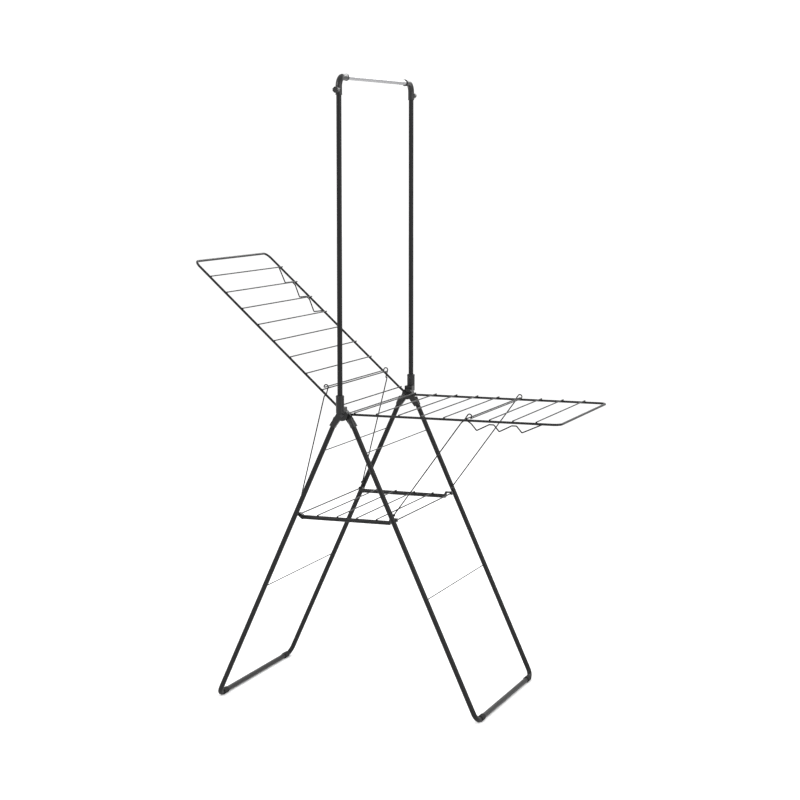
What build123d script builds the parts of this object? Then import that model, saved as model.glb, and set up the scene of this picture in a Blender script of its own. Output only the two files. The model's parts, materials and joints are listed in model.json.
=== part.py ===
"""A free-standing gull-wing clothes airer with a lift-off hanging rail.

Two leg frames meet at a hinge rod between two plastic hubs. Wire struts prop
two wings, a shelf spans the legs, and tall uprights carry a hanging bar.

Millimetres, Z up. Pieces are modelled with the hinge rod over x = 0, then
shifted so the origin is on the floor under the middle of the whole airer.
+X runs to the right along the level wing, and +Y runs from near hub to far.
"""

from math import acos, atan2, cos, degrees, hypot, radians, sin
import os

from build123d import *

# ---- driving dimensions ----------------------------------------------------
hinge_height = 880.0        # hinge rod above the floor
leg_lean = 24.4             # each leg frame from the vertical, in degrees
leg_offset = 15.0           # leg tubes run this far outside the hinge rod
leg_y = 268.0               # centre plane of the leg tubes
tube_radius = 7.5
tube_wall = 1.0
floor_bar_z = 8.5           # centre of the bar that lies along the floor
floor_bend = 25.0

wing_reach = 647.0          # hinge rod to the wing's end bar
rail_y = 253.5              # centre plane of the wing rails
rail_radius = 3.5
wire_radius = 1.9
wire_pitch = 68.6
wire_count = 9

rail_top = 1847.0           # centre of the hanging bar
upright_y = 293.0

fit = 0.05                  # radial gap of a turning fit
weld = 0.02                 # gap left between two welded or glued pieces

NEAR, FAR = -1, 1
LEFT, RIGHT = -1, 1
side_names = {LEFT: "left", RIGHT: "right"}
end_names = {NEAR: "near", FAR: "far"}

# ---- leg line ----------------------------------------------------------------
# Distances down a leg start beside the hinge rod, square off the leg's line.
lean_sin = sin(radians(leg_lean))
lean_cos = cos(radians(leg_lean))
leg_start_x = leg_offset * lean_cos
leg_start_z = hinge_height + leg_offset * lean_sin
leg_run = (leg_start_z - floor_bar_z) / lean_cos


def on_leg(side, down, outward=0.0):
    """X and Z of a point this far down a leg and this far outside its line."""
    x = side * (leg_start_x + down * lean_sin + outward * lean_cos)
    z = leg_start_z - down * lean_cos + outward * lean_sin
    return x, z


def leg_plane(side, y=0.0):
    """Local X is the airer's Y, and local Y runs up the leg."""
    up_leg = Vector(-side * lean_sin, 0, lean_cos)
    return Plane(
        origin=(side * leg_start_x, y, leg_start_z),
        x_dir=(0, 1, 0),
        z_dir=Vector(0, 1, 0).cross(up_leg),
    )


# ---- where the struts meet the wings -------------------------------------------
# A strut's shoulders bear up on the rails, just inside one of the wing wires.
strut_radius = 1.8
strut_y = 254.0             # the arms run under the wing rails
strut_down = 324.7          # strut pivot, down the leg
strut_outward = 3.0         # and outside the leg's line
prop_gap = 15.0             # from a shoulder to the wire outside it
rest_depth = rail_radius + strut_radius + 0.3
right_prop_wire = 5         # the level wing is propped at this wire
left_prop_wire = 1          # and the raised wing at this one


def wire_at(number):
    return wing_reach - wire_pitch * (wire_count - number)


pivot_x, pivot_z = on_leg(RIGHT, strut_down, strut_outward)
pivot_drop = hinge_height - pivot_z
right_prop = (wire_at(right_prop_wire) - prop_gap, -rest_depth)
left_prop = (wire_at(left_prop_wire) - prop_gap, -rest_depth)
strut_length = hypot(right_prop[0] - pivot_x, pivot_drop + right_prop[1])
pivot_reach = hypot(pivot_x, pivot_drop)
left_reach = hypot(*left_prop)
opening_angle = degrees(
    acos(
        (pivot_reach**2 + left_reach**2 - strut_length**2)
        / (2 * pivot_reach * left_reach)
    )
)
hang_angle = degrees(atan2(pivot_x, pivot_drop))
shoulder_angle = degrees(atan2(rest_depth, left_prop[0]))
wing_rise = {LEFT: opening_angle + hang_angle - 90 + shoulder_angle, RIGHT: 0.0}

# the middle of the airer's length is this far left of the hinge rod
left_overhang = wing_reach * cos(radians(wing_rise[LEFT])) + rail_radius
right_overhang = wing_reach + rail_radius
hinge_x = (left_overhang - right_overhang) / 2


def wing_plane(side):
    """Local X runs out along the wing and local Z is its upper side."""
    rise = radians(wing_rise[side])
    return Plane(
        origin=(0, 0, hinge_height),
        x_dir=(side * cos(rise), 0, sin(rise)),
        z_dir=(-side * sin(rise), 0, cos(rise)),
    )


def strut_plane(side):
    """Local X runs up the strut's arms and local Z points away from the hub."""
    prop = right_prop if side == RIGHT else left_prop
    pivot = Vector(side * pivot_x, 0, pivot_z)
    shoulder = wing_plane(side).from_local_coords(Vector(prop[0], 0, prop[1]))
    arm = (shoulder - pivot).normalized()
    return Plane(origin=pivot, x_dir=arm, z_dir=(side * arm.Z, 0, -side * arm.X))


# ---- helpers ---------------------------------------------------------------------
def bent_rod(points, radius, bends, plane=Plane.XY):
    """A round rod of straight runs joined by bends, one radius per corner."""
    corners = [plane.from_local_coords(Vector(*point)) for point in points]
    if isinstance(bends, float):
        bends = [bends] * (len(corners) - 2)
    with BuildPart() as rod:
        with BuildLine() as route:
            here = corners[0]
            for number, bend in enumerate(bends, start=1):
                corner = corners[number]
                back = (corners[number - 1] - corner).normalized()
                onward = (corners[number + 1] - corner).normalized()
                half_turn = radians(back.get_angle(onward)) / 2
                entry = corner + back * (bend / (sin(half_turn) / cos(half_turn)))
                leave = corner + onward * (bend / (sin(half_turn) / cos(half_turn)))
                inward = (back + onward).normalized()
                crown = corner + inward * (bend / sin(half_turn) - bend)
                if (entry - here).length > 0.01:
                    Line(here, entry)
                ThreePointArc(entry, crown, leave)
                here = leave
            Line(here, corners[-1])
        with BuildSketch(Plane(origin=route.line @ 0, z_dir=route.line % 0)):
            Circle(radius)
        sweep()
    return rod.part


def straight_rod(start, end, radius, bore=0.0):
    """A round rod or tube from one point to another."""
    run = Vector(*end) - Vector(*start)
    with BuildPart() as rod:
        with BuildSketch(Plane(origin=start, z_dir=run.normalized())):
            Circle(radius)
            if bore:
                Circle(bore, mode=Mode.SUBTRACT)
        extrude(amount=run.length)
    return rod.part


def cross_rod(x, z, reach, radius):
    """A straight rod across the airer, centred on y = 0."""
    return straight_rod((x, -reach, z), (x, reach, z), radius)


def save(piece, name):
    """Shift a finished piece to its place, label it and write its node."""
    placed = piece.part.moved(Location((hinge_x, 0, 0)))
    placed.label = name
    export_step(placed, f"parts/{name}.step")


os.makedirs("parts", exist_ok=True)

# ---- leg frames --------------------------------------------------------------------
leg_top = 20.0              # the tube's end, on the floor of its socket
leg_foot = leg_run - 40.0   # the leg ends here and the floor bar takes over
leg_wire_radius = 1.5
leg_wire_heights = {"upper": 770.0, "lower": 352.0}
shelf_rod_z = 574.15
shelf_rod_inward = 3.5
shelf_rod_radius = 2.0
pad_radius = 9.5
pad_start, pad_end = 212.0, 240.0
pin_radius = 1.6
pin_head_radius = 3.5
pin_head_start, pin_head_end = 249.3, 251.9

shelf_rod_down = (leg_start_z - shelf_rod_z - shelf_rod_inward * lean_sin) / lean_cos
shelf_rod_x = on_leg(RIGHT, shelf_rod_down, -shelf_rod_inward)[0]


def leg_solids(side):
    """The space both legs of a frame fill, to shape ends welded onto them."""
    foot_x, foot_z = on_leg(side, leg_foot)
    top_x, top_z = on_leg(side, leg_top)
    with BuildPart() as pair:
        for end in (NEAR, FAR):
            top = (top_x, end * leg_y, top_z)
            foot = (foot_x, end * leg_y, foot_z)
            add(straight_rod(top, foot, tube_radius + weld))
    return pair.part


for side in (LEFT, RIGHT):
    legs = leg_solids(side)
    foot_x, foot_z = on_leg(side, leg_foot)
    top_x, top_z = on_leg(side, leg_top)

    for end in (NEAR, FAR):
        with BuildPart() as leg:
            top = (top_x, end * leg_y, top_z)
            foot = (foot_x, end * leg_y, foot_z)
            add(straight_rod(top, foot, tube_radius, tube_radius - tube_wall))
        save(leg, f"{end_names[end]}_{side_names[side]}_leg")

    # the bar along the floor, with the bends that lead up into the legs
    with BuildPart() as floor_bar:
        add(
            bent_rod(
                [
                    (-leg_y, -leg_foot),
                    (-leg_y, -leg_run),
                    (leg_y, -leg_run),
                    (leg_y, -leg_foot),
                ],
                tube_radius,
                floor_bend,
                leg_plane(side),
            )
        )
    save(floor_bar, f"{side_names[side]}_floor_bar")

    # thin wires tie the legs together above and below
    for height_name, height in leg_wire_heights.items():
        with BuildPart() as leg_wire:
            wire_x = on_leg(side, (leg_start_z - height) / lean_cos)[0]
            add(cross_rod(wire_x, height, leg_y, leg_wire_radius))
            add(legs, mode=Mode.SUBTRACT)
        save(leg_wire, f"{side_names[side]}_{height_name}_wire")

    # the rod that the shelf turns on or hooks over
    with BuildPart() as shelf_rod:
        add(cross_rod(side * shelf_rod_x, shelf_rod_z, leg_y, shelf_rod_radius))
        add(legs, mode=Mode.SUBTRACT)
    save(shelf_rod, f"{side_names[side]}_shelf_rod")

    # headed pins that the strut arms turn on
    with BuildPart() as strut_pins:
        for end in (NEAR, FAR):
            head_plane = Plane((side * pivot_x, end * pin_head_start, pivot_z), z_dir=(0, end, 0))
            with BuildSketch(head_plane):
                Circle(pin_head_radius)
            extrude(amount=pin_head_end - pin_head_start)
            with BuildSketch(head_plane):
                Circle(pin_radius)
            extrude(amount=leg_y - pin_head_start)
        add(legs, mode=Mode.SUBTRACT)
    save(strut_pins, f"{side_names[side]}_strut_pins")

    # rubber collars round the floor bar, flat where they stand
    with BuildPart() as foot_pads:
        floor_x = on_leg(side, leg_run)[0]
        for end in (NEAR, FAR):
            with BuildSketch(Plane((floor_x, end * pad_start, floor_bar_z), z_dir=(0, end, 0))):
                Circle(pad_radius)
                Circle(tube_radius + weld, mode=Mode.SUBTRACT)
            extrude(amount=pad_end - pad_start)
        with Locations((floor_x, 0, -pad_radius)):
            Box(4 * pad_radius, 2 * leg_y, 2 * pad_radius, mode=Mode.SUBTRACT)
    save(foot_pads, f"{side_names[side]}_foot_pads")

# ---- hubs ----------------------------------------------------------------------------
hinge_rod_radius = 2.0
hub_radius = 17.0
outer_plate = (268.0, 279.0)   # the left frame's halves, on the outside
inner_plate = (257.3, 267.5)   # the right frame's halves, on the inside
socket_radius = 9.5
socket_start = 18.0
socket_end = 45.0
web_radius = 10.0
web_inset = 7.0             # the web leaves the plate on its outer side
sleeve_radius = 12.0
sleeve_foot = 888.0
sleeve_floor = 896.0
neck_top = 905.0
sleeve_top = 940.0
sleeve_gap = 0.1            # the uprights lift out of their sleeves
cap_radius = 6.0
cap_height = 3.0
button_z = 927.0


def hub_half(side, end, plate, rod_gap):
    """A round plate on the hinge rod, with a socket for one leg tube."""
    plane = leg_plane(side, end * leg_y)
    down_leg = -plane.y_dir
    plate_plane = Plane((0, end * plate[0], hinge_height), x_dir=down_leg, z_dir=(0, end, 0))
    outward = plate_plane.to_local_coords(plate_plane.origin + Vector(side, 0, 0)).Y
    outward = 1.0 if outward > 0 else -1.0
    thickness = plate[1] - plate[0]
    with BuildPart() as half:
        with BuildSketch(plate_plane):
            Circle(hub_radius)
        extrude(amount=thickness)
        with BuildSketch(plate_plane):
            with Locations((0, outward * web_inset)):
                Circle(web_radius)
            with Locations((socket_end - 2, outward * leg_offset)):
                Rectangle(4, 2 * socket_radius - 2)
            make_hull()
        extrude(amount=thickness)
        with BuildSketch(Plane(plane.origin + down_leg * socket_start, z_dir=down_leg)):
            Circle(socket_radius)
        extrude(amount=socket_end - socket_start)
        with BuildSketch(Plane(plane.origin + down_leg * leg_top, z_dir=down_leg)):
            Circle(tube_radius + fit)
        extrude(amount=socket_end, mode=Mode.SUBTRACT)
        with BuildSketch(Plane((0, 0, hinge_height), z_dir=(0, end, 0))):
            Circle(hinge_rod_radius + rod_gap)
        extrude(amount=plate[1] + 1, mode=Mode.SUBTRACT)
    return half.part


for end in (NEAR, FAR):
    # outer half, with the upright sleeve that the hanging rail drops into
    with BuildPart() as outer_hub:
        add(hub_half(LEFT, end, outer_plate, weld))
        with BuildSketch(Plane.XY.offset(sleeve_foot)):
            with Locations((0, end * (outer_plate[0] + upright_y) / 2)):
                Rectangle(2 * sleeve_radius, upright_y - outer_plate[0])
        extrude(amount=neck_top - sleeve_foot)
        with BuildSketch(Plane.XY.offset(sleeve_foot)):
            with Locations((0, end * upright_y)):
                Circle(sleeve_radius)
        extrude(amount=sleeve_top - sleeve_foot)
        chamfer(outer_hub.faces().sort_by(Axis.Z)[-1].edges(), 1.2)
        with BuildSketch(Plane.XY.offset(sleeve_floor)):
            with Locations((0, end * upright_y)):
                Circle(tube_radius + sleeve_gap)
        extrude(amount=sleeve_top, mode=Mode.SUBTRACT)
    save(outer_hub, f"{end_names[end]}_left_hub")

    # inner half, which turns with the right leg frame
    with BuildPart() as inner_hub:
        add(hub_half(RIGHT, end, inner_plate, fit))
    save(inner_hub, f"{end_names[end]}_right_hub")

# one rod through both hubs carries the legs and both wings
rod_reach = outer_plate[1] + cap_height / 2
with BuildPart() as hinge_rod:
    add(cross_rod(0, hinge_height, rod_reach, hinge_rod_radius))
save(hinge_rod, "hinge_rod")

# a domed cap on each end of the hinge rod
with BuildPart() as hinge_caps:
    for end in (NEAR, FAR):
        with BuildSketch(Plane((0, end * (outer_plate[1] + weld), hinge_height), z_dir=(0, end, 0))):
            Circle(cap_radius)
        extrude(amount=cap_height)
    rims = hinge_caps.edges().filter_by(GeomType.CIRCLE).sort_by(Axis.Y)
    fillet([rims[0], rims[-1]], 2.0)
    add(cross_rod(0, hinge_height, rod_reach + weld, hinge_rod_radius + weld), mode=Mode.SUBTRACT)
save(hinge_caps, "hinge_caps")

# ---- struts ----------------------------------------------------------------------------
arm_end = 330.0             # the arms stop here and the hook piece carries on
arm_eye_radius = 4.2
arm_eye = (252.1, 255.9)
arm_start = 3.0             # the arm's wire starts inside its eye
hook_y = 241.0              # the hook passes up inside the rails
hook_back = -1.0
hook_front = 12.0           # the crossbar lies in front of the wire it hooks
hook_bend = (hook_front - hook_back) / 2
hook_top = strut_length + 30.5
crossbar_at = strut_length + 20.5
strut_bend = 3.5

for side in (LEFT, RIGHT):
    plane = strut_plane(side)

    for end in (NEAR, FAR):
        with BuildPart() as arm:
            across = plane.y_dir.Y * end * strut_y
            start = plane.from_local_coords(Vector(arm_start, across, 0))
            stop = plane.from_local_coords(Vector(arm_end, across, 0))
            add(straight_rod(start, stop, strut_radius))
            with BuildSketch(Plane((side * pivot_x, end * arm_eye[0], pivot_z), z_dir=(0, end, 0))):
                Circle(arm_eye_radius)
            extrude(amount=arm_eye[1] - arm_eye[0])
            with BuildSketch(Plane((side * pivot_x, 0, pivot_z), z_dir=(0, end, 0))):
                Circle(pin_radius + fit)
            extrude(amount=leg_y, mode=Mode.SUBTRACT)
        save(arm, f"{end_names[end]}_{side_names[side]}_strut_arm")

    # shoulders under the rails, then up and over the wire to a crossbar
    half_route = [
        (arm_end, strut_y, 0),
        (strut_length, strut_y, 0),
        (strut_length, hook_y, 0),
        (hook_top, hook_y, hook_back),
        (hook_top, hook_y, hook_front),
        (crossbar_at, hook_y, hook_front),
    ]
    other_half = [(along, -y, out) for along, y, out in reversed(half_route)]
    half_bends = [4.0, 4.0, 6.2, 6.2, strut_bend]
    with BuildPart() as strut_hook:
        add(
            bent_rod(
                half_route + other_half, strut_radius, half_bends + half_bends[::-1], plane
            )
        )
    save(strut_hook, f"{side_names[side]}_strut_hook")

# ---- wings -------------------------------------------------------------------------------
eye_radius = 6.0
tail_layer = {RIGHT: (251.2, 253.8), LEFT: (254.2, 256.8)}
tail_width = 7.0
tail_end = 27.0
rod_start = 24.0
end_bar_lap = 30.0          # the rails stop this far short of the end bar
wing_bend = 22.0
wire_y = 257.0              # the wires end flush with the rails, inside the hubs
wire_rise = rail_radius + wire_radius + weld
rack_y = rail_y + rail_radius + wire_radius + weld
rack_start = 598.0
rack_first_notch = 538.0
rack_notch_pitch = 67.0
rack_notches = 3
rack_depth = -26.5
rack_step = -8.0
rack_steep = 16.0           # along the wing, on the hub side of a notch
rack_flat = 14.0
rack_end = 376.0

for side in (LEFT, RIGHT):
    plane = wing_plane(side)

    # each rail is flattened at the hub and turns on the hinge rod
    for end in (NEAR, FAR):
        with BuildPart() as rail:
            start = plane.from_local_coords(Vector(rod_start, side * end * rail_y, 0))
            stop = plane.from_local_coords(
                Vector(wing_reach - end_bar_lap, side * end * rail_y, 0)
            )
            add(straight_rod(start, stop, rail_radius))
            inside, outside = tail_layer[side]
            tail_plane = Plane((0, end * inside, hinge_height), x_dir=plane.x_dir, z_dir=(0, end, 0))
            with BuildSketch(tail_plane):
                Circle(eye_radius)
                with Locations((tail_end / 2, 0)):
                    Rectangle(tail_end, tail_width)
            extrude(amount=outside - inside)
            with BuildSketch(Plane((0, 0, hinge_height), z_dir=(0, end, 0))):
                Circle(hinge_rod_radius + fit)
            extrude(amount=leg_y, mode=Mode.SUBTRACT)
        save(rail, f"{side_names[side]}_wing_{end_names[end]}_rail")

    with BuildPart() as end_bar:
        add(
            bent_rod(
                [
                    (wing_reach - end_bar_lap, -rail_y, 0),
                    (wing_reach, -rail_y, 0),
                    (wing_reach, rail_y, 0),
                    (wing_reach - end_bar_lap, rail_y, 0),
                ],
                rail_radius,
                wing_bend,
                plane,
            )
        )
    save(end_bar, f"{side_names[side]}_wing_end_bar")

    # the drying wires, welded on top of the rails
    with BuildPart() as wing_wires:
        for number in range(wire_count):
            start = plane.from_local_coords(Vector(wire_at(number), -wire_y, wire_rise))
            stop = plane.from_local_coords(Vector(wire_at(number), wire_y, wire_rise))
            add(straight_rod(start, stop, wire_radius))
    save(wing_wires, f"{side_names[side]}_wing_wires")

    # a notched wire outside one rail keeps coat hangers apart
    rack_route = [(rack_start, -rack_y, 0)]
    for notch in range(rack_notches):
        bottom = rack_first_notch - notch * rack_notch_pitch
        rack_route.append((bottom, -rack_y, rack_depth))
        rack_route.append((bottom - rack_steep, -rack_y, rack_step))
        if notch < rack_notches - 1:
            rack_route.append((bottom - rack_steep - rack_flat, -rack_y, rack_step))
    rack_route.append((rack_end, -rack_y, 0))
    with BuildPart() as hanger_rack:
        add(bent_rod(rack_route, wire_radius, 3.0, plane))
    save(hanger_rack, f"{side_names[side]}_hanger_rack")

# ---- shelf ---------------------------------------------------------------------------------
shelf_y = 241.5
shelf_tube_radius = 6.35
shelf_wire_radius = 1.8
shelf_wire_y = 245.0
shelf_wire_spacing = 62.0
shelf_wire_count = 4
shelf_z = shelf_rod_z - shelf_tube_radius - shelf_wire_radius - weld
shelf_left_end = -140.0
shelf_right_end = 132.0
plug_radius = shelf_tube_radius - tube_wall - weld
plug_depth = 14.0
ring_radius = 5.5
pivot_width = 12.0
hook_width = 10.0
hook_block_end = 138.5
strap_bottom = shelf_rod_z + shelf_rod_radius + 0.35
strap_top = 581.0
lip_start = shelf_rod_x + shelf_rod_radius + 0.4
lip_end = lip_start + 4.0
lip_bottom = 571.0

for end in (NEAR, FAR):
    with BuildPart() as shelf_rail:
        add(
            straight_rod(
                (shelf_left_end, end * shelf_y, shelf_z),
                (shelf_right_end, end * shelf_y, shelf_z),
                shelf_tube_radius,
                shelf_tube_radius - tube_wall,
            )
        )
    save(shelf_rail, f"{end_names[end]}_shelf_rail")

with BuildPart() as shelf_wires:
    for number in range(shelf_wire_count):
        x = shelf_wire_spacing * (number - (shelf_wire_count - 1) / 2)
        add(cross_rod(x, shelf_rod_z, shelf_wire_y, shelf_wire_radius))
save(shelf_wires, "shelf_wires")

# rings that turn on the left rod, each with a plug glued into its rail
with BuildPart() as shelf_pivots:
    for end in (NEAR, FAR):
        with BuildSketch(Plane.XZ.offset(-end * shelf_y)):
            with Locations((-shelf_rod_x, shelf_rod_z)):
                Circle(ring_radius)
            with Locations((shelf_left_end - 1 - weld, shelf_z)):
                Rectangle(2, 2 * shelf_tube_radius)
            make_hull()
            with Locations((-shelf_rod_x, shelf_rod_z)):
                Circle(shelf_rod_radius + fit, mode=Mode.SUBTRACT)
        extrude(amount=pivot_width / 2, both=True)
        with BuildSketch(Plane((shelf_left_end - 1, end * shelf_y, shelf_z), z_dir=(1, 0, 0))):
            Circle(plug_radius)
        extrude(amount=plug_depth)
save(shelf_pivots, "shelf_pivots")

# hooks that drop over the right rod
with BuildPart() as shelf_hooks:
    for end in (NEAR, FAR):
        with BuildSketch(Plane.XZ.offset(-end * shelf_y)):
            with BuildLine():
                Polyline(
                    (shelf_right_end + weld, shelf_z - shelf_tube_radius + 1),
                    (hook_block_end - 3, shelf_z - shelf_tube_radius + 1),
                    (hook_block_end, shelf_z),
                    (hook_block_end, strap_bottom - 3),
                    (hook_block_end + 3, strap_bottom),
                    (lip_start, strap_bottom),
                    (lip_start, lip_bottom),
                    (lip_end, lip_bottom),
                    (lip_end, strap_top - 2),
                    (lip_end - 2, strap_top),
                    (shelf_right_end + 3, strap_top),
                    (shelf_right_end + weld, shelf_z + shelf_tube_radius),
                    close=True,
                )
            make_face()
        extrude(amount=hook_width / 2, both=True)
        with BuildSketch(Plane((shelf_right_end + 1, end * shelf_y, shelf_z), z_dir=(-1, 0, 0))):
            Circle(plug_radius)
        extrude(amount=plug_depth)
save(shelf_hooks, "shelf_hooks")

# ---- hanging rail --------------------------------------------------------------------------
elbow_radius = 9.5
elbow_bend = 28.0
elbow_foot = 1796.0
elbow_inner_y = 236.0
upright_top = 1818.0
bar_reach = 262.0
knob_z = 1810.0
knob_boss_y = 304.0
knob_gap = 0.3
knob_radius = 9.0
knob_length = 16.0
stud_radius = 3.0
flute_count = 8

for end in (NEAR, FAR):
    with BuildPart() as upright:
        add(
            straight_rod(
                (0, end * upright_y, sleeve_floor + weld),
                (0, end * upright_y, upright_top),
                tube_radius,
                tube_radius - tube_wall,
            )
        )
    save(upright, f"{end_names[end]}_upright")

    with BuildPart() as elbow:
        add(
            bent_rod(
                [
                    (0, end * upright_y, elbow_foot),
                    (0, end * upright_y, rail_top),
                    (0, end * elbow_inner_y, rail_top),
                ],
                elbow_radius,
                elbow_bend,
            )
        )
        with BuildSketch(Plane((0, end * upright_y, knob_z), z_dir=(0, end, 0))):
            Circle(knob_radius - 1.5)
        extrude(amount=knob_boss_y - upright_y)
        with BuildSketch(Plane.XY.offset(elbow_foot)):
            with Locations((0, end * upright_y)):
                Circle(tube_radius + fit)
        extrude(amount=upright_top - elbow_foot, mode=Mode.SUBTRACT)
        with BuildSketch(Plane((0, end * elbow_inner_y, rail_top), z_dir=(0, end, 0))):
            Circle(tube_radius + fit)
        extrude(amount=bar_reach - elbow_inner_y, mode=Mode.SUBTRACT)
        with BuildSketch(Plane((0, end * upright_y, knob_z), z_dir=(0, end, 0))):
            Circle(stud_radius + fit)
        extrude(amount=knob_boss_y, mode=Mode.SUBTRACT)
    save(elbow, f"{end_names[end]}_elbow")

    # a fluted knob whose stud clamps the upright in the elbow
    with BuildPart() as knob:
        head_y = knob_boss_y + knob_gap
        with BuildSketch(Plane((0, end * head_y, knob_z), z_dir=(0, end, 0))):
            Circle(knob_radius)
            with PolarLocations(knob_radius + 1.2, flute_count):
                Circle(2.2, mode=Mode.SUBTRACT)
        extrude(amount=knob_length)
        outer_rim = knob.faces().sort_by(Axis.Y)[-1 if end == FAR else 0].edges()
        chamfer(outer_rim, 0.8)
        stud_tip = upright_y + tube_radius + weld
        with BuildSketch(Plane((0, end * stud_tip, knob_z), z_dir=(0, end, 0))):
            Circle(stud_radius)
        extrude(amount=head_y - stud_tip)
    save(knob, f"{end_names[end]}_knob")

# the bar that coat hangers hang on
with BuildPart() as hanging_bar:
    add(
        straight_rod(
            (0, -bar_reach, rail_top), (0, bar_reach, rail_top), tube_radius, tube_radius - tube_wall
        )
    )
save(hanging_bar, "hanging_bar")
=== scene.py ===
"""Looks for the winged clothes airer: materials, fine fittings, camera and stage."""

import json
import math

import bmesh
import bpy
from mathutils import Matrix, Vector


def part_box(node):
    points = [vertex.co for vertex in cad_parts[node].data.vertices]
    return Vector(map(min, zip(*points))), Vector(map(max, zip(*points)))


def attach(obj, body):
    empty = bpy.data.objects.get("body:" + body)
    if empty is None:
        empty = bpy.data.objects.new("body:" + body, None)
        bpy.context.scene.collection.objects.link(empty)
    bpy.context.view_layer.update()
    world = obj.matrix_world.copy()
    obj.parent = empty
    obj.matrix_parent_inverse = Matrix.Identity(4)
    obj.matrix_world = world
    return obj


bl_info = {
    "name": "Winged clothes airer",
    "version": (1, 0, 0),
    "blender": (4, 5, 0),
    "location": "View3D > Sidebar > Airer",
    "description": "Finishes, welds and small fittings for a winged clothes airer",
    "category": "Object",
}

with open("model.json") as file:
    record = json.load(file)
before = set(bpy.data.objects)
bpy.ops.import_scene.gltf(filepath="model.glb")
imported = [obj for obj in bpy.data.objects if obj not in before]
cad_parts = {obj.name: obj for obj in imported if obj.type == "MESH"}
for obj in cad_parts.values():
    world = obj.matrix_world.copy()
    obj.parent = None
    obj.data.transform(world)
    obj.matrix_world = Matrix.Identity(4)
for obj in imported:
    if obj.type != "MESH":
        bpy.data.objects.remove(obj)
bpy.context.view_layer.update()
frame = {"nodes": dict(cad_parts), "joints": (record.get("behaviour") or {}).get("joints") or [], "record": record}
SIDES = ("left", "right")
ENDS = ("near", "far")


# ---- places read from the model -------------------------------------------------
def joint_named(name):
    return next(joint for joint in frame["joints"] if joint["name"] == name)


def middle(node):
    low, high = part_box(node)
    return (Vector(low) + Vector(high)) / 2


def vertices_of(node):
    return [vertex.co.copy() for vertex in frame["nodes"][node].data.vertices]


HINGE = Vector(joint_named("leg_fold")["pos_m"])
MM = 0.001


# ---- material helpers ---------------------------------------------------------------
def new_material(name):
    """An empty node material with its shader and output joined."""
    material = bpy.data.materials.new(name)
    material.use_nodes = True
    tree = material.node_tree
    tree.nodes.clear()
    shader = tree.nodes.new("ShaderNodeBsdfPrincipled")
    output = tree.nodes.new("ShaderNodeOutputMaterial")
    tree.links.new(shader.outputs["BSDF"], output.inputs["Surface"])
    return material, tree, shader


def noise(tree, scale, detail=3.0, roughness=0.5, stretch=(1.0, 1.0, 1.0)):
    """Noise on Object coordinates, stretched along chosen axes."""
    place = tree.nodes.new("ShaderNodeTexCoord")
    mapping = tree.nodes.new("ShaderNodeMapping")
    mapping.inputs["Scale"].default_value = stretch
    texture = tree.nodes.new("ShaderNodeTexNoise")
    texture.inputs["Scale"].default_value = scale
    texture.inputs["Detail"].default_value = detail
    texture.inputs["Roughness"].default_value = roughness
    tree.links.new(place.outputs["Object"], mapping.inputs["Vector"])
    tree.links.new(mapping.outputs["Vector"], texture.inputs["Vector"])
    return texture.outputs["Fac"]


def ramp(tree, value, stops):
    """A colour ramp with the given (position, colour) stops."""
    node = tree.nodes.new("ShaderNodeValToRGB")
    elements = node.color_ramp.elements
    while len(elements) < len(stops):
        elements.new(0.5)
    for element, (position, colour) in zip(elements, stops):
        element.position = position
        element.color = (*colour, 1.0)
    tree.links.new(value, node.inputs["Fac"])
    return node.outputs["Color"]


def spread(tree, value, low, high):
    """Maps a 0 to 1 value onto a range."""
    node = tree.nodes.new("ShaderNodeMapRange")
    node.inputs["To Min"].default_value = low
    node.inputs["To Max"].default_value = high
    tree.links.new(value, node.inputs["Value"])
    return node.outputs["Result"]


def bump(tree, shader, height, strength, distance):
    node = tree.nodes.new("ShaderNodeBump")
    node.inputs["Strength"].default_value = strength
    node.inputs["Distance"].default_value = distance
    tree.links.new(height, node.inputs["Height"])
    tree.links.new(node.outputs["Normal"], shader.inputs["Normal"])


def shade(colour, factor):
    return tuple(channel * factor for channel in colour)


def powder_coat(name, colour, gloss):
    """Black powder coat: fine orange peel and slow drifts in shade."""
    material, tree, shader = new_material(name)
    drift = noise(tree, 9.0, detail=4.0)
    colours = [(0.3, shade(colour, 0.82)), (0.7, shade(colour, 1.2))]
    tree.links.new(ramp(tree, drift, colours), shader.inputs["Base Color"])
    patch = noise(tree, 60.0, detail=2.0)
    tree.links.new(spread(tree, patch, gloss - 0.06, gloss + 0.06), shader.inputs["Roughness"])
    shader.inputs["Specular IOR Level"].default_value = 0.2
    peel = noise(tree, 1400.0, detail=2.0, roughness=0.6)
    bump(tree, shader, peel, 0.25, 0.0002)
    return material


def moulded_plastic(name, colour, gloss):
    """Black moulding: spark-eroded grain with handling marks."""
    material, tree, shader = new_material(name)
    drift = noise(tree, 25.0, detail=3.0)
    colours = [(0.35, shade(colour, 0.85)), (0.65, shade(colour, 1.15))]
    tree.links.new(ramp(tree, drift, colours), shader.inputs["Base Color"])
    scuffs = noise(tree, 180.0, detail=5.0, roughness=0.7)
    tree.links.new(spread(tree, scuffs, gloss - 0.08, gloss + 0.1), shader.inputs["Roughness"])
    shader.inputs["Specular IOR Level"].default_value = 0.35
    grain = noise(tree, 2200.0, detail=2.0, roughness=0.6)
    bump(tree, shader, grain, 0.3, 0.00015)
    return material


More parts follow.
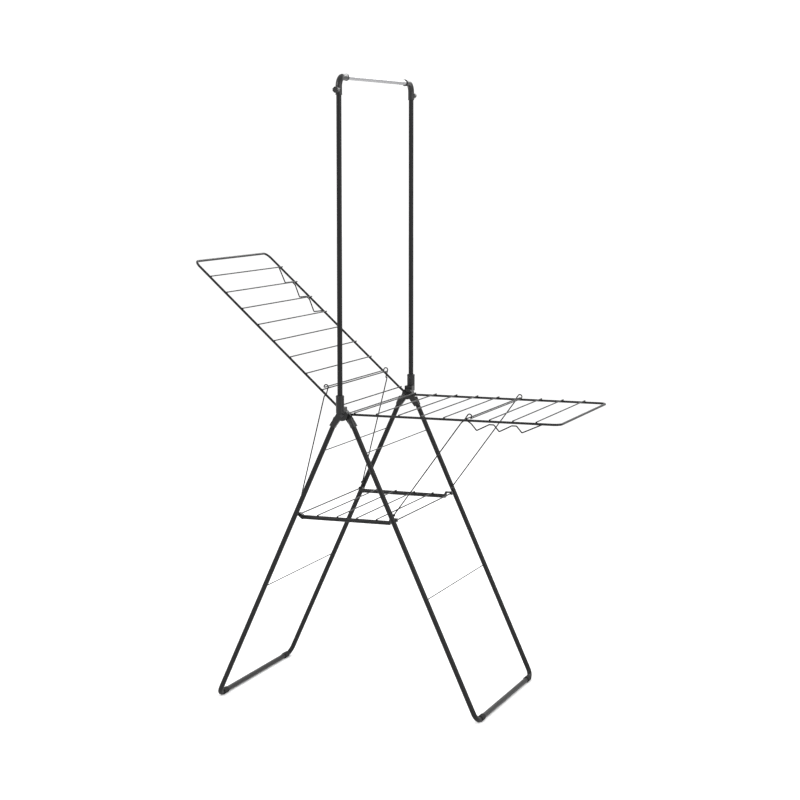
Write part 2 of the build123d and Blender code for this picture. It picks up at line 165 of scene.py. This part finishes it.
def pad_rubber(name, colour):
    """Foot rubber: matt, dusty where it is worn."""
    material, tree, shader = new_material(name)
    dust = noise(tree, 120.0, detail=5.0, roughness=0.7)
    colours = [(0.4, colour), (0.75, shade(colour, 2.2))]
    tree.links.new(ramp(tree, dust, colours), shader.inputs["Base Color"])
    shader.inputs["Roughness"].default_value = 0.86
    shader.inputs["Specular IOR Level"].default_value = 0.3
    grain = noise(tree, 1800.0, detail=3.0)
    bump(tree, shader, grain, 0.4, 0.0002)
    return material


def brushed_bar(name, colour, gloss, stretch):
    """Steel brushed along its length, with fine streaks."""
    material, tree, shader = new_material(name)
    shader.inputs["Metallic"].default_value = 1.0
    streaks = noise(tree, 400.0, detail=4.0, roughness=0.7, stretch=stretch)
    colours = [(0.3, shade(colour, 0.86)), (0.7, shade(colour, 1.08))]
    tree.links.new(ramp(tree, streaks, colours), shader.inputs["Base Color"])
    tree.links.new(spread(tree, streaks, gloss - 0.08, gloss + 0.12), shader.inputs["Roughness"])
    bump(tree, shader, streaks, 0.12, 0.0001)
    return material


# ---- mesh helpers -----------------------------------------------------------------
def mesh_piece(name, build):
    """A new object whose mesh the given function fills, with normals set outwards."""
    mesh = bpy.data.meshes.new(name)
    shape = bmesh.new()
    build(shape)
    bmesh.ops.recalc_face_normals(shape, faces=shape.faces)
    shape.to_mesh(mesh)
    shape.free()
    piece = bpy.data.objects.new(name, mesh)
    bpy.context.scene.collection.objects.link(piece)
    for polygon in mesh.polygons:
        polygon.use_smooth = True
    return piece


def turned(shape, start, direction, profile, segments=32):
    """Adds a lathe-turned solid: profile is (distance along, radius) from end to end."""
    along = Vector(direction).normalized()
    across = along.orthogonal().normalized()
    upright = along.cross(across)
    rings = []
    for distance, radius in profile:
        centre = Vector(start) + along * distance
        if radius == 0:
            rings.append([shape.verts.new(centre)])
            continue
        ring = []
        for step in range(segments):
            angle = 2 * math.pi * step / segments
            offset = across * math.cos(angle) + upright * math.sin(angle)
            ring.append(shape.verts.new(centre + offset * radius))
        rings.append(ring)
    for lower, upper in zip(rings, rings[1:]):
        for step in range(segments):
            after = (step + 1) % segments
            if len(lower) == 1 and len(upper) > 1:
                shape.faces.new((lower[0], upper[after], upper[step]))
            elif len(upper) == 1 and len(lower) > 1:
                shape.faces.new((lower[step], lower[after], upper[0]))
            elif len(lower) > 1:
                shape.faces.new((lower[step], lower[after], upper[after], upper[step]))


def finish_piece(piece, body, material):
    piece.data.materials.clear()
    piece.data.materials.append(material)
    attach(piece, body)
    return piece


# ---- Geometry Nodes for what repeats ----------------------------------------------------
def new_tree(name, sizes):
    """A modifier tree with a geometry input, a material input and named sizes."""
    tree = bpy.data.node_groups.new(name, "GeometryNodeTree")
    tree.is_modifier = True
    tree.interface.new_socket("Geometry", in_out="INPUT", socket_type="NodeSocketGeometry")
    for size in sizes:
        tree.interface.new_socket(size, in_out="INPUT", socket_type="NodeSocketFloat")
    tree.interface.new_socket("Material", in_out="INPUT", socket_type="NodeSocketMaterial")
    tree.interface.new_socket("Geometry", in_out="OUTPUT", socket_type="NodeSocketGeometry")
    return tree, tree.nodes.new("NodeGroupInput"), tree.nodes.new("NodeGroupOutput")


def repeat_on_points(tree, given, result, instance):
    """Puts an instance on every vertex, turned by the vertex's own angles."""
    points = tree.nodes.new("GeometryNodeMeshToPoints")
    placed = tree.nodes.new("GeometryNodeInstanceOnPoints")
    angles = tree.nodes.new("GeometryNodeInputNamedAttribute")
    angles.data_type = "FLOAT_VECTOR"
    angles.inputs["Name"].default_value = "angles"
    realize = tree.nodes.new("GeometryNodeRealizeInstances")
    dress = tree.nodes.new("GeometryNodeSetMaterial")
    join = tree.links.new
    join(given.outputs["Geometry"], points.inputs["Mesh"])
    join(points.outputs["Points"], placed.inputs["Points"])
    join(instance, placed.inputs["Instance"])
    join(angles.outputs["Attribute"], placed.inputs["Rotation"])
    join(placed.outputs["Instances"], realize.inputs["Geometry"])
    join(realize.outputs["Geometry"], dress.inputs["Geometry"])
    join(given.outputs["Material"], dress.inputs["Material"])
    join(dress.outputs["Geometry"], result.inputs["Geometry"])


def bead_tree():
    """Weld beads: small balls flattened across the wire."""
    tree, given, result = new_tree("Weld beads", ("Length", "Width", "Height"))
    ball = tree.nodes.new("GeometryNodeMeshIcoSphere")
    ball.inputs["Radius"].default_value = 1.0
    ball.inputs["Subdivisions"].default_value = 3
    size = tree.nodes.new("ShaderNodeCombineXYZ")
    stretch = tree.nodes.new("GeometryNodeTransform")
    smooth = tree.nodes.new("GeometryNodeSetShadeSmooth")
    tree.links.new(given.outputs["Length"], size.inputs["X"])
    tree.links.new(given.outputs["Width"], size.inputs["Y"])
    tree.links.new(given.outputs["Height"], size.inputs["Z"])
    tree.links.new(ball.outputs["Mesh"], stretch.inputs["Geometry"])
    tree.links.new(size.outputs["Vector"], stretch.inputs["Scale"])
    tree.links.new(stretch.outputs["Geometry"], smooth.inputs["Geometry"])
    repeat_on_points(tree, given, result, smooth.outputs["Geometry"])
    return tree


def ring_tree():
    """Raised rings: a round bead swept round a circle."""
    tree, given, result = new_tree("Raised rings", ("Radius", "Thickness"))
    path = tree.nodes.new("GeometryNodeCurvePrimitiveCircle")
    path.inputs["Resolution"].default_value = 64
    section = tree.nodes.new("GeometryNodeCurvePrimitiveCircle")
    section.inputs["Resolution"].default_value = 12
    sweep = tree.nodes.new("GeometryNodeCurveToMesh")
    smooth = tree.nodes.new("GeometryNodeSetShadeSmooth")
    tree.links.new(given.outputs["Radius"], path.inputs["Radius"])
    tree.links.new(given.outputs["Thickness"], section.inputs["Radius"])
    tree.links.new(path.outputs["Curve"], sweep.inputs["Curve"])
    tree.links.new(section.outputs["Curve"], sweep.inputs["Profile Curve"])
    tree.links.new(sweep.outputs["Mesh"], smooth.inputs["Geometry"])
    repeat_on_points(tree, given, result, smooth.outputs["Geometry"])
    return tree


def rivet_tree():
    """Rivet heads: a ball flattened into a dome that sits half sunk."""
    tree, given, result = new_tree("Rivet heads", ("Radius", "Height"))
    ball = tree.nodes.new("GeometryNodeMeshUVSphere")
    ball.inputs["Radius"].default_value = 1.0
    ball.inputs["Segments"].default_value = 24
    ball.inputs["Rings"].default_value = 12
    size = tree.nodes.new("ShaderNodeCombineXYZ")
    stretch = tree.nodes.new("GeometryNodeTransform")
    smooth = tree.nodes.new("GeometryNodeSetShadeSmooth")
    tree.links.new(given.outputs["Radius"], size.inputs["X"])
    tree.links.new(given.outputs["Radius"], size.inputs["Y"])
    tree.links.new(given.outputs["Height"], size.inputs["Z"])
    tree.links.new(ball.outputs["Mesh"], stretch.inputs["Geometry"])
    tree.links.new(size.outputs["Vector"], stretch.inputs["Scale"])
    tree.links.new(stretch.outputs["Geometry"], smooth.inputs["Geometry"])
    repeat_on_points(tree, given, result, smooth.outputs["Geometry"])
    return tree


def repeated(name, places, make_tree, sizes, body, material):
    """One plain mesh made by running a tree over (point, axis) places."""
    mesh = bpy.data.meshes.new(name)
    mesh.from_pydata([tuple(point) for point, axis in places], [], [])
    angles = mesh.attributes.new("angles", "FLOAT_VECTOR", "POINT")
    for entry, (point, axis) in zip(angles.data, places):
        entry.vector = Vector(axis).to_track_quat("Z", "Y").to_euler()
    seed = bpy.data.objects.new(name + "_seed", mesh)
    bpy.context.scene.collection.objects.link(seed)
    tree = make_tree()
    modifier = seed.modifiers.new(tree.name, "NODES")
    modifier.node_group = tree
    for socket in tree.interface.items_tree:
        if socket.in_out != "INPUT":
            continue
        if socket.name == "Material":
            modifier[socket.identifier] = material
        elif socket.name in sizes:
            modifier[socket.identifier] = sizes[socket.name]
    depsgraph = bpy.context.evaluated_depsgraph_get()
    plain = bpy.data.meshes.new_from_object(seed.evaluated_get(depsgraph))
    bpy.data.objects.remove(seed)
    piece = bpy.data.objects.new(name, plain)
    bpy.context.scene.collection.objects.link(piece)
    return finish_piece(piece, body, material)


# ---- settings -------------------------------------------------------------------------------
def colour_setting(label, help_text, default):
    return bpy.props.FloatVectorProperty(
        name=label, description=help_text, subtype="COLOR", size=3, min=0.0, max=1.0, default=default
    )


def length_setting(label, help_text, default):
    return bpy.props.FloatProperty(
        name=label, description=help_text, unit="LENGTH", subtype="DISTANCE", default=default
    )


def factor_setting(label, help_text, default):
    return bpy.props.FloatProperty(
        name=label, description=help_text, subtype="FACTOR", min=0.0, max=1.0, default=default
    )


class AirerFinishes(bpy.types.PropertyGroup):
    """Colours and gloss of the airer's finishes."""

    coat_colour: colour_setting("Powder coat", "Colour of tubes and wires", (0.0045, 0.0045, 0.0048))
    coat_gloss: factor_setting("Coat roughness", "Roughness of the powder coat", 0.42)
    plastic_colour: colour_setting("Plastic", "Colour of hubs, elbows and knobs", (0.0035, 0.0035, 0.0038))
    plastic_gloss: factor_setting("Plastic roughness", "Roughness of the mouldings", 0.36)
    rubber_colour: colour_setting("Rubber", "Colour of the foot pads", (0.006, 0.006, 0.006))
    bar_colour: colour_setting("Hanging bar", "Colour of the brushed bar", (0.36, 0.36, 0.37))
    bar_gloss: factor_setting("Bar roughness", "Roughness of the brushed bar", 0.34)
    pin_colour: colour_setting("Pins", "Colour of pins and caps", (0.05, 0.05, 0.052))


class AirerFittings(bpy.types.PropertyGroup):
    """Sizes of the small fittings."""

    bead_length: length_setting("Bead length", "Half length of a weld bead along its rail", 0.0026)
    bead_width: length_setting("Bead width", "Half width of a weld bead along its wire", 0.0022)
    bead_height: length_setting("Bead height", "Half height of a weld bead", 0.0012)
    rivet_radius: length_setting("Rivet radius", "Radius of a rivet head", 0.0028)
    rivet_height: length_setting("Rivet height", "Height of a rivet head", 0.0012)
    button_radius: length_setting("Button radius", "Radius of the catch on each sleeve", 0.0042)
    ring_thickness: length_setting("Ring thickness", "Radius of the bead round a mouth", 0.0009)


# ---- operators ---------------------------------------------------------------------------------
def dress(nodes, material):
    for node in nodes:
        mesh = frame["nodes"][node].data
        for slot in range(max(1, len(mesh.materials))):
            if slot < len(mesh.materials):
                mesh.materials[slot] = material
            else:
                mesh.materials.append(material)


def nodes_in_slot(slot):
    return [part["node"] for part in frame["record"]["subparts"] if part["material_slot"] == slot]


def finish_named(name):
    return bpy.data.materials[name]


class AIRER_OT_tubes(bpy.types.Operator):
    """Powder coats the legs, floor bars, uprights and shelf tubes"""

    bl_idname = "airer.tubes"
    bl_label = "Coat tubes"

    def execute(self, context):
        looks = context.scene.airer_finishes
        coat = powder_coat("Tube powder coat", looks.coat_colour[:], looks.coat_gloss)
        dress(nodes_in_slot("tube_black"), coat)
        return {"FINISHED"}


class AIRER_OT_wires(bpy.types.Operator):
    """Powder coats the wings, struts and wires"""

    bl_idname = "airer.wires"
    bl_label = "Coat wires"

    def execute(self, context):
        looks = context.scene.airer_finishes
        coat = powder_coat("Wire powder coat", looks.coat_colour[:], looks.coat_gloss)
        dress(nodes_in_slot("wire_black"), coat)
        return {"FINISHED"}


class AIRER_OT_mouldings(bpy.types.Operator):
    """Finishes the hubs, elbows, knobs and shelf fittings"""

    bl_idname = "airer.mouldings"
    bl_label = "Finish mouldings"

    def execute(self, context):
        looks = context.scene.airer_finishes
        plastic = moulded_plastic("Hub plastic", looks.plastic_colour[:], looks.plastic_gloss)
        dress(nodes_in_slot("hub_plastic"), plastic)
        rubber = pad_rubber("Pad rubber", looks.rubber_colour[:])
        dress(nodes_in_slot("pad_rubber"), rubber)
        return {"FINISHED"}


class AIRER_OT_bar(bpy.types.Operator):
    """Brushes the hanging bar and darkens the pins"""

    bl_idname = "airer.bar"
    bl_label = "Finish bar and pins"

    def execute(self, context):
        looks = context.scene.airer_finishes
        bar = brushed_bar("Brushed bar", looks.bar_colour[:], looks.bar_gloss, (1.0, 0.02, 1.0))
        dress(nodes_in_slot("bar_steel"), bar)
        pins = brushed_bar("Dull pins", looks.pin_colour[:], 0.45, (1.0, 1.0, 1.0))
        dress(nodes_in_slot("pin_steel"), pins)
        return {"FINISHED"}


def wing_frame(side):
    """Directions of a wing: out along its rails, across, and its upper side."""
    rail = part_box(f"{side}_wing_near_rail")
    points = vertices_of(f"{side}_wing_near_rail")
    outermost = max(points, key=lambda point: abs(point.x - HINGE.x))
    rail_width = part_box(f"{side}_wing_near_rail")[1].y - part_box(f"{side}_wing_near_rail")[0].y
    ring = [point for point in points if (point - outermost).length < rail_width * 1.08]
    centre = sum(ring, Vector()) / len(ring)
    out = Vector((centre.x - HINGE.x, 0, centre.z - HINGE.z)).normalized()
    upper = Vector((-out.z, 0, out.x)) if out.x > 0 else Vector((out.z, 0, -out.x))
    return out, upper, (rail[0].y + rail[1].y) / 2


def wire_places(side):
    """Where each drying wire's centre line lies, as distances out along the wing."""
    out, upper, rail_y = wing_frame(side)
    reaches = sorted((point - HINGE).dot(out) for point in vertices_of(f"{side}_wing_wires"))
    places = []
    group = [reaches[0]]
    for reach in reaches[1:]:
        if reach - group[-1] > 0.01:
            places.append((group[0] + group[-1]) / 2)
            group = []
        group.append(reach)
    places.append((group[0] + group[-1]) / 2)
    return places


class AIRER_OT_welds(bpy.types.Operator):
    """Adds a weld bead where each wire meets a rail"""

    bl_idname = "airer.welds"
    bl_label = "Add weld beads"

    def execute(self, context):
        sizes = context.scene.airer_fittings
        coat = finish_named("Wire powder coat")
        bead = {"Length": sizes.bead_length, "Width": sizes.bead_width, "Height": sizes.bead_height}
        for side in SIDES:
            out, upper, rail_y = wing_frame(side)
            places = []
            for reach in wire_places(side):
                for sign in (-1, 1):
                    point = HINGE + out * reach + upper * 3.7 * MM
                    places.append((Vector((point.x, sign * abs(rail_y), point.z)), upper))
            repeated(
                f"{side}_wing_welds", places, bead_tree, bead, f"{side}_wing", coat
            )
        tubes = []
        low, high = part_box("near_shelf_rail")
        wires = sorted({round(p.x, 3) for p in vertices_of("shelf_wires")})
        groups = []
        for x in wires:
            if not groups or x - groups[-1][-1] > 0.01:
                groups.append([])
            groups[-1].append(x)
        for group in groups:
            for sign in (-1, 1):
                spot = Vector(((group[0] + group[-1]) / 2, sign * abs((low.y + high.y) / 2), high.z))
                tubes.append((spot, (0, 0, 1)))
        repeated("shelf_welds", tubes, bead_tree, bead, "shelf", coat)
        return {"FINISHED"}


class AIRER_OT_rings(bpy.types.Operator):
    """Adds the raised beads round the mouths of sleeves and elbows"""

    bl_idname = "airer.rings"
    bl_label = "Add mouth rings"

    def execute(self, context):
        sizes = context.scene.airer_fittings
        plastic = finish_named("Hub plastic")
        for end in ENDS:
            upright = middle(f"{end}_upright")
            sleeve_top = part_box(f"{end}_left_hub")[1].z
            places = [(Vector((upright.x, upright.y, sleeve_top - 4 * MM)), (0, 0, 1))]
            shape = {"Radius": 12.0 * MM, "Thickness": sizes.ring_thickness}
            repeated(
                f"{end}_sleeve_ring", places, ring_tree, shape, "left_leg_frame", plastic
            )
            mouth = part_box(f"{end}_elbow")
            bar = middle("hanging_bar")
            inner = mouth[1].y - 2 * MM if end == "near" else mouth[0].y + 2 * MM
            places = [
                (Vector((upright.x, upright.y, mouth[0].z + 2 * MM)), (0, 0, 1)),
                (Vector((bar.x, inner, bar.z)), (0, 1, 0)),
            ]
            shape = {"Radius": 9.5 * MM, "Thickness": sizes.ring_thickness}
            repeated(
                f"{end}_elbow_rings", places, ring_tree, shape, "hanging_rail", plastic
            )
        return {"FINISHED"}


class AIRER_OT_rivets(bpy.types.Operator):
    """Adds the rivets of the sockets, the sleeve catches and the knob caps"""

    bl_idname = "airer.rivets"
    bl_label = "Add rivets"

    def execute(self, context):
        sizes = context.scene.airer_fittings
        pins = finish_named("Dull pins")
        plastic = finish_named("Hub plastic")
        rivet = {"Radius": sizes.rivet_radius, "Height": sizes.rivet_height}
        button = {"Radius": sizes.button_radius, "Height": sizes.rivet_height}
        for side, sign_x in (("left", -1), ("right", 1)):
            places = []
            for end, sign_y in (("near", -1), ("far", 1)):
                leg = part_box(f"{end}_{side}_leg")
                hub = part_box(f"{end}_{side}_hub")
                axis_y = (leg[0].y + leg[1].y) / 2
                top = Vector(((leg[0].x if side == "right" else leg[1].x), axis_y, leg[1].z))
                foot_x = leg[1].x if side == "right" else leg[0].x
                down = Vector((foot_x - top.x, 0, leg[0].z - leg[1].z)).normalized()
                centre = top + down * 15 * MM + Vector((sign_x * 6.4 * MM, 0, -2.9 * MM))
                places.append((centre + Vector((0, sign_y * 9.4 * MM, 0)), (0, sign_y, 0)))
            repeated(
                f"{side}_socket_rivets", places, rivet_tree, rivet, f"{side}_leg_frame", pins
            )
        for end, sign_y in (("near", -1), ("far", 1)):
            upright = middle(f"{end}_upright")
            sleeve_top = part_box(f"{end}_left_hub")[1].z
            spot = Vector((upright.x, upright.y - sign_y * 11.9 * MM, sleeve_top - 13 * MM))
            repeated(
                f"{end}_sleeve_catch",
                [(spot, (0, -sign_y, 0))],
                rivet_tree,
                button,
                "left_leg_frame",
                plastic,
            )
            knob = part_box(f"{end}_knob")
            face = knob[0].y if end == "near" else knob[1].y
            centre = (knob[0] + knob[1]) / 2
            spot = Vector((centre.x, face - sign_y * 0.8 * MM, centre.z))
            cap = {"Radius": 5.5 * MM, "Height": 0.8 * MM}
            repeated(
                f"{end}_knob_cap",
                [(spot, (0, sign_y, 0))],
                rivet_tree,
                cap,
                f"{end}_clamp_knob",
                plastic,
            )
        return {"FINISHED"}


class AIRER_OT_stage(bpy.types.Operator):
    """Sets the camera, lights, world and floor"""

    bl_idname = "airer.stage"
    bl_label = "Set the stage"

    def execute(self, context):
        scene = context.scene
        yaw, pitch, focal = 0.36194, -0.12602, 87.97
        forward = Vector(
            (-math.sin(yaw) * math.cos(pitch), math.cos(yaw) * math.cos(pitch), math.sin(pitch))
        )
        right = Vector((math.cos(yaw), math.sin(yaw), 0))
        upward = right.cross(forward)
        lens = bpy.data.cameras.new("Camera")
        lens.sensor_width = 36.0
        lens.lens = focal
        lens.clip_end = 100.0
        camera = bpy.data.objects.new("Camera", lens)
        scene.collection.objects.link(camera)
        turn = Matrix((right, upward, -forward)).transposed().to_4x4()
        camera.matrix_world = Matrix.Translation((HINGE.x + 2.1414, -5.4604, 1.6349)) @ turn
        scene.camera = camera

        world = bpy.data.worlds.new("Studio")
        world.use_nodes = True
        background = world.node_tree.nodes["Background"]
        background.inputs["Color"].default_value = (1.0, 1.0, 1.0, 1.0)
        background.inputs["Strength"].default_value = 1.12
        scene.world = world
        scene.view_settings.view_transform = "Standard"

        floor_white, tree, shader = new_material("Studio floor")
        shader.inputs["Base Color"].default_value = (0.93, 0.93, 0.93, 1.0)
        shader.inputs["Roughness"].default_value = 0.9
        shader.inputs["Specular IOR Level"].default_value = 0.0

        def sheet(shape):
            bmesh.ops.create_grid(shape, x_segments=1, y_segments=1, size=30.0)

        floor = mesh_piece("studio_floor", sheet)
        floor.data.materials.append(floor_white)

        def lamp(name, place, size, power):
            light = bpy.data.lights.new(name, "AREA")
            light.shape = "RECTANGLE"
            light.size, light.size_y = size
            light.energy = power
            holder = bpy.data.objects.new(name, light)
            scene.collection.objects.link(holder)
            aim = Vector((0, 0, 0.9)) - Vector(place)
            holder.rotation_mode = "QUATERNION"
            holder.rotation_quaternion = aim.to_track_quat("-Z", "Y")
            holder.location = place

        lamp("key_light", (-2.6, -3.2, 3.6), (1.6, 1.6), 110.0)
        lamp("side_light", (3.6, -1.6, 2.4), (1.2, 2.4), 70.0)
        lamp("back_light", (0.4, 3.6, 3.2), (3.0, 1.2), 60.0)
        return {"FINISHED"}


class AIRER_PT_panel(bpy.types.Panel):
    """The airer's settings and steps"""

    bl_label = "Airer"
    bl_space_type = "VIEW_3D"
    bl_region_type = "UI"
    bl_category = "Airer"

    def draw(self, context):
        layout = self.layout
        for group in (context.scene.airer_finishes, context.scene.airer_fittings):
            for setting in group.bl_rna.properties:
                if setting.identifier not in ("rna_type", "name"):
                    layout.prop(group, setting.identifier)
        for step in STEPS:
            layout.operator(step.bl_idname)


STEPS = (
    AIRER_OT_tubes,
    AIRER_OT_wires,
    AIRER_OT_mouldings,
    AIRER_OT_bar,
    AIRER_OT_welds,
    AIRER_OT_rings,
    AIRER_OT_rivets,
    AIRER_OT_stage,
)
CLASSES = (AirerFinishes, AirerFittings, *STEPS, AIRER_PT_panel)


def register():
    for item in CLASSES:
        bpy.utils.register_class(item)
    bpy.types.Scene.airer_finishes = bpy.props.PointerProperty(type=AirerFinishes)
    bpy.types.Scene.airer_fittings = bpy.props.PointerProperty(type=AirerFittings)


def unregister():
    del bpy.types.Scene.airer_fittings
    del bpy.types.Scene.airer_finishes
    for item in reversed(CLASSES):
        bpy.utils.unregister_class(item)


def main():
    """Runs every step."""
    register()
    bpy.ops.airer.tubes()
    bpy.ops.airer.wires()
    bpy.ops.airer.mouldings()
    bpy.ops.airer.bar()
    bpy.ops.airer.welds()
    bpy.ops.airer.rings()
    bpy.ops.airer.rivets()
    bpy.ops.airer.stage()


if __name__ == "__main__":
    main()
